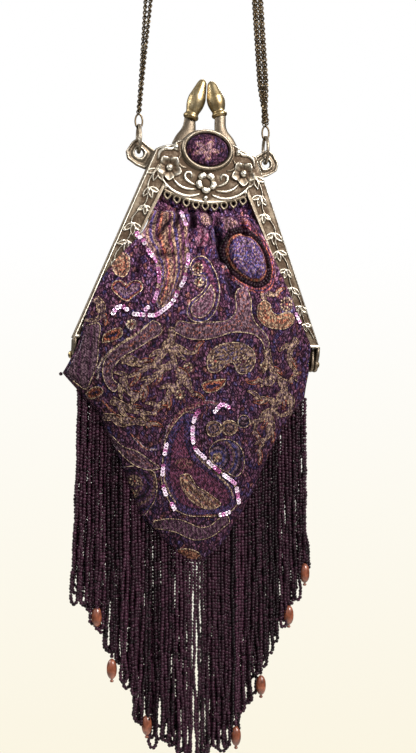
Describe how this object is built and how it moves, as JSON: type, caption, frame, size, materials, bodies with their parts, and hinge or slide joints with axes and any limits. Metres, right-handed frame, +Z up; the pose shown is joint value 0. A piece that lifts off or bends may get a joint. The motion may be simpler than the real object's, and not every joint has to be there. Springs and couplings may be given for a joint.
{
  "type": "frame bag",
  "caption": "Gathered brocade evening bag on a hinged cast brass frame with a kiss clasp, a pointed hem with beaded fringe, hung by a double chain handle.",
  "frame": {"origin": "underside of the chain at the top of the handle, where it hangs", "axes": "+Z up, front of the bag towards -Y, +X to the viewer's right"},
  "size_m": [0.1548, 0.0273, 0.6653],
  "materials": {
    "antique_brass": "antique cast",
    "polished_brass": "worn polish",
    "chain_brass": "dark antique",
    "brocade": "woven paisley",
    "seed_beads": "glossy glass beads",
    "drop_beads": "glazed clay"
  },
  "bodies": {
    "root": {"front_frame": "antique_brass", "back_frame": "antique_brass", "cabochon": "brocade", "left_hinge_pin": "polished_brass", "right_hinge_pin": "polished_brass", "cloth_bag": "brocade", "left_ring": "polished_brass", "right_ring": "polished_brass", "left_end_link": "chain_brass", "right_end_link": "chain_brass", "chain_front_strand": "chain_brass", "chain_back_strand": "chain_brass", "left_fringe": "seed_beads", "right_fringe": "seed_beads", "drop_bead_1": "drop_beads", "drop_bead_2": "drop_beads", "drop_bead_3": "drop_beads", "drop_bead_4": "drop_beads", "drop_bead_5": "drop_beads", "drop_bead_6": "drop_beads", "drop_bead_7": "drop_beads"}
  },
  "joints": []
}
